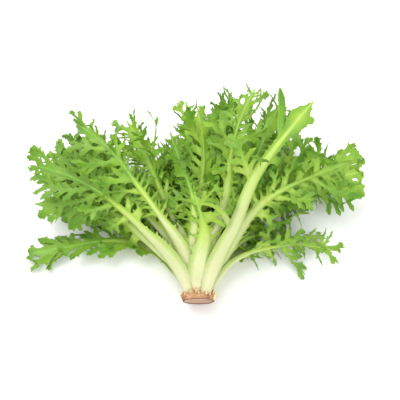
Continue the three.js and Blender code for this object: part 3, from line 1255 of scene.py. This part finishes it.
@dataclass
class CutStem:
    """The stem's stump: a cut face, a dark rim, torn brown skin and a cream cone in the leaves.

    The outline has each ring's height above the cut and its radius, from the cut's middle on. The
    cut face ends at ring cut_end, the rim follows it and the rings before skin_start aren't skin.
    """

    rosette: Rosette
    radius: float = 14.5
    frayed: float = 0.9
    segments: int = 112
    seed: int = 91
    waves: tuple[int, ...] = (2, 3, 5, 8, 13, 21)
    last_phase: float = 6.283
    cut_end: int = 4
    skin_start: int = 8
    outline: tuple[tuple[float, float], ...] = (
        *((1.5, 0.0), (1.4, 3.0), (1.1, 6.5), (0.9, 9.8), (0.5, 12.2), (-0.1, 13.2), (0.3, 13.8)),
        *((1.2, 14.0), (2.4, 14.0), (3.6, 13.8), (4.8, 13.5), (6.0, 13.0), (7.4, 12.2)),
        *((9.0, 11.2), (12.0, 10.2), (20.0, 7.5), (30.0, 4.6), (42.0, 1.2), (43.5, 0.0)),
    )

    def build(self, place: Vector, dress: bpy.types.Material) -> bpy.types.Object:
        """Makes the stem's piece, moved by place (mm), and returns it."""
        chance = random.Random(self.seed)
        waves = [
            (n, chance.uniform(0, self.last_phase), chance.uniform(0.4, 1.0) / n**0.7)
            for n in self.waves
        ]
        rim = self.cut_end + 1
        points, faces, rings = [], [], []
        facts = {"skin": [], "rim": [], "cut": [], "ring": []}
        for k, (up, radius) in enumerate(self.outline):
            count = 1 if radius == 0 else self.segments
            rings.append(range(len(points), len(points) + count))
            skin = smooth(12.5, 14.0, radius) * smooth(12.5, 6.5, up)
            for s in range(count):
                around = FULL_TURN * s / count
                rough = sum(a * math.sin(n * around + p + up * 0.45 * n**0.5) for n, p, a in waves)
                fray = chance.uniform(-0.22, 0.22) * skin
                r = radius * (1 + 0.022 * rough * smooth(4, 13, radius))
                r = min(r + (0.28 * rough + fray) * skin, self.radius + self.frayed)
                torn = smooth(9, 13, radius) if k < self.skin_start else 0.3 * skin
                lift = (0.25 * rough + fray) * torn
                y, z = self.rosette.on_stem(up + lift, r * math.cos(around))
                points.append(Vector((r * math.sin(around), y, z)) + place)
            facts["skin"] += [smooth(12.5, 6.5, up) if k >= rim else 0.0] * count
            facts["rim"] += [{rim: 1.0, rim - 1: 0.45, rim + 1: 0.45}.get(k, 0.0)] * count
            facts["cut"] += [1.0 if k < rim else 0.0] * count
            facts["ring"] += [radius / self.radius] * count
        for near, far in zip(rings, rings[1:]):
            for s in range(self.segments):
                t = (s + 1) % self.segments
                if len(near) == 1:
                    faces.append((near[0], far[t], far[s]))
                elif len(far) == 1:
                    faces.append((near[s], near[t], far[0]))
                else:
                    faces.append((near[s], near[t], far[t], far[s]))
        mesh = bpy.data.meshes.new("stem_end")
        mesh.from_pydata([p * MM for p in points], [], faces)
        for key, values in facts.items():
            carry(mesh, key, values)
        mesh.polygons.foreach_set("use_smooth", [True] * len(mesh.polygons))
        mesh.materials.append(dress)
        return put("stem_end", mesh)


@dataclass
class SkinScales:
    """Ragged scales of torn skin round the cut end, and a stub of a cut stalk. Lengths in mm."""

    rosette: Rosette
    values: tuple[tuple[str, float], ...] = (
        ("Radius", 13.2),
        ("Length", 6.6),
        ("Width", 5.8),
        ("Thickness", 0.7),
        ("Raggedness", 3.0),
        ("Stub Radius", 1.7),
        ("Stub Length", 8.0),
    )
    count: int = 38
    seed: int = 5
    start_up: float = 1.2
    stub_place: tuple[float, float, float] = (0.4, -5.0, 3.2)
    seam: float = 1e-3
    rag_waves: float = 0.45

    def tree(self) -> Works:
        """Builds the node tree: a bent scale round a circle many times, each varied by chance."""
        kinds = {name: "Float" for name, _ in self.values}
        w = Works("skin_scales", {**kinds, "Count": "Int", "Seed": "Int"})
        ring = {"Vertices": w.start["Count"], "Radius": w.start["Radius"]}
        circle = w.out("GeometryNodeMeshCircle", ring)
        turn = w.signal("GeometryNodeInputIndex") / w.given("Count") * FULL_TURN
        lean, skew, wide, tall = (
            self._by_chance(w, low, high, purpose)
            for purpose, (low, high) in enumerate(
                ((-0.05, 0.42), (-0.3, 0.3), (0.7, 1.25), (0.35, 1.1)), start=1
            )
        )
        euler = w.vector(lean * -1.0, skew, turn - math.pi / 2)
        many = w.out(
            "GeometryNodeInstanceOnPoints",
            {
                "Points": circle,
                "Instance": self._scale(w),
                "Rotation": w.out("FunctionNodeEulerToRotation", {0: euler}),
                "Scale": w.vector(wide, 1.0, tall),
            },
        )
        both = w.joined(many, self._stub(w))
        real = w.out("GeometryNodeRealizeInstances", {"Geometry": both})
        where = w.out("GeometryNodeInputPosition")
        cloud = {"Vector": where, "Scale": self.rag_waves, "Detail": 3.0}
        off = {0: w.out("ShaderNodeTexNoise", cloud, 1), 1: (0.5, 0.5, 0.5)}
        middle = w.out("ShaderNodeVectorMath", off, operation="SUBTRACT")
        w.close(w.shaded(w.pushed(real, middle, w.start["Raggedness"])))
        return w

    @staticmethod
    def _by_chance(w: Works, low: float, high: float, purpose: int) -> Signal:
        """Returns a number by chance, another one for each point and purpose."""
        values = {2: low, 3: high, "Seed": w.given("Seed") + float(purpose)}
        return w.signal("FunctionNodeRandomValue", values, 1, data_type="FLOAT")

    @staticmethod
    def _stored(w: Works, geometry: Socket, name: str, value: Number) -> Socket:
        """Stores a number at a geometry's points and returns it."""
        values = {"Geometry": geometry, "Name": name, "Value": value}
        settings = {"data_type": "FLOAT", "domain": "POINT"}
        return w.out("GeometryNodeStoreNamedAttribute", values, **settings)

    def _scale(self, w: Works) -> Socket:
        """Makes one scale: a small closed sheet that narrows and bends out as it rises."""
        size = {"Size X": 1.0, "Size Y": 1.0, "Vertices X": 5, "Vertices Y": 6}
        grid = w.out("GeometryNodeMeshGrid", size)
        place = w.node("ShaderNodeSeparateXYZ", {0: w.out("GeometryNodeInputPosition")}).outputs
        across, up = Signal(w, place[0]), Signal(w, place[1]) + 0.5
        width = w.given("Width") * (1.0 - up * up * 0.72)
        bulge = (across * across * -3.2) + up * up * 1.1
        shape = w.vector(across * width, bulge, up * w.given("Length"))
        bent = w.out("GeometryNodeSetPosition", {"Geometry": grid, "Position": shape})
        marked = self._stored(w, bent, "skin", 1.1 - up * 0.6)
        marked = self._stored(w, marked, "ring", 1.0)
        return w.thickened(marked, w.start["Thickness"], self.seam)

    def _stub(self, w: Works) -> Socket:
        """Makes the pale stub of a cut stalk. Its place is counted from the circle's right end."""
        size = {"Vertices": 14, "Side Segments": 5, "Fill Segments": 2}
        size |= {"Radius": w.start["Stub Radius"], "Depth": w.start["Stub Length"]}
        peg = w.out("GeometryNodeMeshCylinder", size)
        beside, *rest = self.stub_place
        spot = w.vector(w.given("Radius") + beside, *rest)
        moved = w.out("GeometryNodeTransform", {"Geometry": peg, "Translation": spot})
        return self._stored(w, moved, "ring", 1.0)

    def build(self, place: Vector, dress: bpy.types.Material) -> bpy.types.Object:
        """Makes the piece, moved by place (mm), and returns it."""
        piece = put("skin_scales", bpy.data.meshes.new("skin_scales"))
        values = {**dict(self.values), "Count": self.count, "Seed": self.seed, "Finish": dress}
        self.tree().bake(piece, values)
        for vertex in piece.data.vertices:
            x, y, up = vertex.co
            turned = Vector((x, *self.rosette.on_stem(up + self.start_up, -y)))
            vertex.co = (turned + place) * MM
        return piece


# The whole head


@dataclass
class Head:
    """The whole endive head, set on the frame.

    The stem's lowest points in the frame lie at foot_radius, level with the cut, and at
    widest_radius, widest_up above it. All in mm.
    """

    rosette: Rosette = field(default_factory=Rosette)
    fan: Fan = field(default_factory=Fan)
    guarding: tuple[int, ...] = (0, 2, 5, 8)
    foot_radius: float = 13.7
    widest_radius: float = 14.5
    widest_up: float = 0.8
    seed_step: float = 3.7

    def offset(self) -> Vector:
        """Returns the step in mm from the head's own coordinates to the frame's."""
        low, high = (Vector(corner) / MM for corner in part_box("stem"))
        lowest_y, _ = self.rosette.on_stem(0.0, self.foot_radius)
        _, lowest_z = self.rosette.on_stem(self.widest_up, -self.widest_radius)
        return Vector(((low.x + high.x) / 2, low.y - lowest_y, low.z - lowest_z))

    def build(self) -> None:
        """Makes every piece of the head and ties it to the frame."""
        offset = self.offset()
        low, high = (Vector(corner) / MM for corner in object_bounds())
        root = RootFinish().material()
        settle(CutStem(self.rosette).build(offset, root), "stem", "stem")
        scales = SkinScales(self.rosette).build(offset, root)
        lay_on_table(scales.data)
        settle(scales, "stem", "stem")
        works = LeafWorks()
        dresses = {layer: layer.finish.material() for layer in Layer}
        specials = special_leaves()
        guards = []
        for index in range(self.rosette.leaf_count):
            planned = hero_lobes() if index == 0 else ()
            leaf = Leaf(index, self.rosette, self.fan, specials.get(index, {}), planned)
            sheet = leaf.sheet()
            for guard in guards:
                guard.tuck(sheet)
            if index in self.guarding:
                guards.append(leaf.guard())
            keep_inside(sheet, offset, low, high)
            piece = put(f"{leaf.node}_frill", sheet.mesh(leaf.node, offset))
            seed = index * self.seed_step
            works.finish(piece, seed, leaf.habit.curliness, dresses[leaf.layer])
            lay_on_table(piece.data)
            settle(piece, leaf.node, leaf.layer.slot)


def hero_lobes() -> tuple[PlannedLobe, ...]:
    """Returns the few smooth lobes of the broad leaf that grows on top."""
    smooth_lobe = dict(twist=0.15, neck=0.8, crown=0.95, tooth=1.4, thick=1.3, greener=0.05)

    def form(length: float, *lean: float, **others: float) -> LobeForm:
        """Returns a smooth lobe's form from its length, forward, rise, turn and curl."""
        return LobeForm(length, max(5, round(length / 3)), *lean, **{**smooth_lobe, **others})

    arch = form(56, 0.45, 0.75, -0.75, -0.8, neck=0.75, crown=0.5, greener=0.5, tooth=1.0)
    split = dict(tooth=3.0, branching=0.75, pale=1.4)
    branch = form(48, 0.4, 0.3, 0.25, 0.1, neck=0.42, crown=0.42, greener=0.7, **split)
    shoulder = form(40, 1.0, 0.05, -0.05, -0.5, neck=0.68, crown=0.68)
    finger = form(22, 0.45, -0.35, 0.4, -0.5, greener=0.5, crown=0.6, branching=0.6, tooth=3.0)
    end = form(7, 0.9, -0.15, 0.2, -0.2, neck=0.9, crown=0.6)
    return (
        PlannedLobe(-1, 0.3, 2, arch),
        PlannedLobe(-1, 0.52, 3, branch),
        PlannedLobe(-1, 0.76, 4, shoulder),
        PlannedLobe(1, 0.64, 3, finger),
        PlannedLobe(1, 0.9, 3, end),
    )


def special_leaves() -> dict[int, dict[str, float]]:
    """Returns what sets single leaves apart, by their number in the spiral."""
    comb = dict(broad=0.0, green=0.8)
    wisp = dict(comb, lobe_length=14.0, stretch=0.72)
    large = dict(broad=0.6, comb=0.1, tooth=3.0)
    return {
        0: dict(
            broad=0.78, stalk_half=5.9, taper=0.7, rib_green=0.45, rib_end=1.0, bare=0.5, blade=3.0,
            curliness=0.25, tooth=1.6, comb=0.0, heading=-6.0, lift=11.0, nod=2.0, sway=1.0,
            green=0.88, stretch=0.99,
        ),
        2: dict(stalk_half=6.6, broad=0.3, bare=0.4, lift=5.0),
        3: dict(
            comb, stalk_half=4.4, bare=0.34, comb=0.5, lobe_length=19.0, stretch=0.88, spindly=0.8,
            heading=9.0, nod=6.0,
        ),
        4: dict(
            broad=0.55, comb=0.0, lobe_length=18.5, green=0.95, tooth=3.0, curliness=0.6,
            heading=6.5, stretch=0.94,
        ),
        5: dict(
            stretch=0.52, stalk_half=7.4, taper=0.8, bare=0.5, lobe_length=26.0, broad=0.0,
            comb=0.9, tooth=3.2, green=0.75, nod=-9.0, spindly=1.0,
        ),
        6: dict(wisp, comb=0.6, spindly=0.8, heading=-6.0),
        7: dict(
            broad=0.8, bare=0.4, comb=0.1, green=0.95, lobe_length=18.0, heading=5.0, stretch=1.05
        ),
        8: dict(
            stalk_half=7.4, broad=0.15, bare=0.42, comb=0.4, lobe_length=24.0, green=0.82, lift=6.0
        ),
        10: dict(
            stalk_half=6.2, broad=0.1, bare=0.34, comb=0.85, spindly=0.4, heading=-8.0, tooth=3.4,
            lift=5.0, threads=0.12, rib_green=0.9, taper=0.3,
        ),
        11: dict(wisp, comb=0.7, spindly=0.5, nod=-16.0),
        12: dict(broad=0.4, comb=0.1, lobe_length=14.0, stretch=0.82, nod=-18.0, heading=5.0),
        13: dict(
            stalk_half=6.4, lift=6.0, broad=0.05, bare=0.34, comb=0.8, spindly=0.5, curliness=1.2,
            stretch=1.03,
        ),
        15: dict(broad=0.6, comb=0.15),
        16: dict(large, green=0.78, lobe_length=30.0, tooth=2.4, stretch=1.04),
        18: dict(
            stalk_half=6.2, lift=6.0, broad=0.0, bare=0.3, comb=0.95, spindly=0.8, stretch=0.92
        ),
        21: dict(spindly=0.7, comb=0.9),
        23: dict(comb=0.8, threads=0.15),
        24: dict(broad=0.4, green=0.8, lobe_length=28.0, tooth=3.0),
        26: dict(large, lobe_length=24.0, green=0.8, heading=-5.0, stretch=0.98, spindly=0.0),
        34: dict(stretch=1.1, heading=-2.0),
        39: dict(stretch=1.08),
        42: dict(stretch=1.12),
    }


def turned_back(value: float, limit: float, easing: float) -> float:
    """Returns a value that nears the limit from easing below it on, and never passes it."""
    start = limit - easing
    return limit - easing * math.exp(-(value - limit + easing) / easing) if value > start else value


def keep_inside(
    sheet: LeafSheet,
    offset: Vector,
    low: Vector,
    high: Vector,
    room: float = 6.0,
    easing: float = 8.0,
) -> None:
    """Turns back what would leave the frame's box.

    Args:
        sheet: The leaf's sheet, in the head's coordinates.
        offset: The step from those to the frame's.
        low: Lowest corner of the frame's box in mm.
        high: Its highest corner.
        room: How far past the box a point may still lie.
        easing: How far before that limit points start to be turned back.
    """
    for point in sheet.points:
        placed = point + offset
        for axis in range(3):
            placed[axis] = turned_back(placed[axis], high[axis] + room, easing)
            if axis < 2:
                placed[axis] = -turned_back(-placed[axis], room - low[axis], easing)
        point[:] = placed - offset


def lay_on_table(mesh: bpy.types.Mesh, within: float = 2.5, lowest: float = 0.05) -> None:
    """Presses what would sink into the table flat on it.

    Args:
        mesh: The mesh, in metres.
        within: What is higher than this, in mm, isn't moved.
        lowest: How high the deepest points end up, in mm.
    """
    room = within - lowest
    for vertex in mesh.vertices:
        height = vertex.co.z / MM
        if height < within:
            vertex.co.z = (lowest + room * math.exp((height - within) / room)) * MM


def settle(piece: bpy.types.Object, node: str, slot: str) -> None:
    """Ties a piece to the frame's only body, in place of a node. The slot is not used."""
    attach(piece, "root")
    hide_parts(node)
    mesh = piece.data
    counts = len(mesh.vertices), len(mesh.polygons)
    LOG.info("%s: %d points, %d faces, for %s", piece.name, *counts, node)


@dataclass
class Studio:
    """The pale floor, the soft lights and the camera. Lengths in metres, powers in watts."""

    elevation: float = 65.0
    distance: float = 1.1
    aim: tuple[float, float, float] = (0.0045, 0.0035, 0.03)
    width_seen: float = 0.351
    sensor: float = 36.0
    floor_reach: float = 3.0
    floor_white: float = 0.97
    sky: float = 0.88
    lamps: tuple[tuple[str, tuple[float, float, float], float, float], ...] = (
        ("key", (-0.45, 0.45, 1.3), 1.1, 14.5),
        ("fill", (0.8, -0.7, 1.1), 1.2, 7.0),
    )

    def build(self) -> None:
        """Makes them all."""
        self._floor()
        self._lights()
        self._camera()

    def _floor(self) -> None:
        """Makes the floor."""
        mesh = bpy.data.meshes.new("floor")
        signs = ((-1, -1), (1, -1), (1, 1), (-1, 1))
        corners = [(x * self.floor_reach, y * self.floor_reach, 0) for x, y in signs]
        mesh.from_pydata(corners, [], [(0, 1, 2, 3)])
        w = Paint("floor_white")
        values = {"Base Color": (*[self.floor_white] * 3, 1), "Roughness": 0.9}
        mesh.materials.append(w.done(w.out("ShaderNodeBsdfPrincipled", values)))
        put("floor", mesh)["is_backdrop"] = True

    def _lights(self) -> None:
        """Makes the pale world and the square lights, which face the object."""
        world = bpy.data.worlds.new("pale_room")
        world.use_nodes = True
        w = Weave(world.node_tree)
        sky = {"Color": (1.0, 1.0, 1.0, 1), "Strength": self.sky}
        w.node("ShaderNodeOutputWorld", {"Surface": w.out("ShaderNodeBackground", sky)})
        bpy.context.scene.world = world
        for name, place, size, power in self.lamps:
            data = bpy.data.lights.new(name, "AREA")
            data.size, data.energy = size, power
            lamp = put(name, data)
            lamp.location = place
            lamp.rotation_euler = (-Vector(place)).to_track_quat("-Z", "Y").to_euler()

    def _camera(self) -> None:
        """Makes the camera, level with the frame's right, looking down on the head."""
        data = bpy.data.cameras.new("camera")
        data.sensor_width = self.sensor
        data.lens = self.sensor * self.distance / self.width_seen
        camera = put("camera", data)
        tilt = math.radians(self.elevation)
        back = Vector((0, -math.cos(tilt), math.sin(tilt)))
        camera.location = Vector(self.aim) + back * self.distance
        camera.rotation_euler = (math.radians(90) - tilt, 0, 0)
        bpy.context.scene.camera = camera


def main() -> None:
    """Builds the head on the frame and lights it."""
    logging.basicConfig(level=logging.INFO, format="%(name)s: %(message)s")
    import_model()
    bpy.context.scene.view_settings.view_transform = "Standard"
    Head().build()
    Studio().build()


if __name__ == "__main__":
    main()
